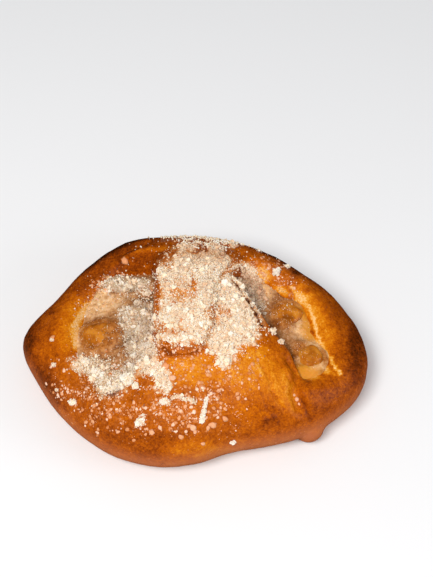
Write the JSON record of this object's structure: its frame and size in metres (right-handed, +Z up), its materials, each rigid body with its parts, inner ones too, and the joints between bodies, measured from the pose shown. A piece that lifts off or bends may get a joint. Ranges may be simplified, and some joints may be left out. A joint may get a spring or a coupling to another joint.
{
  "type": "apple kolache",
  "caption": "Fold-over sweet yeast bun with two corners folded over a cooked apple filling, diced apple showing in both open sides, and streusel crumbs on top.",
  "frame": {"origin": "on the surface that the bun stands on, under the middle of its outline seen from above", "axes": "+X along the bun's long side, +Y towards the back fold, +Z up"},
  "size_m": [0.1214, 0.0918, 0.0438],
  "materials": {
    "baked_crust": "egg-washed, golden to dark brown, semi-gloss",
    "cooked_apple": "moist, translucent, glossy",
    "apple_dice": "moist amber, glossy",
    "streusel": "dry, sugary, matt cream"
  },
  "bodies": {
    "root": {"dough": "baked_crust", "apple_filling": "cooked_apple", "apple_piece_left": "apple_dice", "apple_piece_right_back": "apple_dice", "apple_piece_right_front": "apple_dice"}
  },
  "joints": []
}
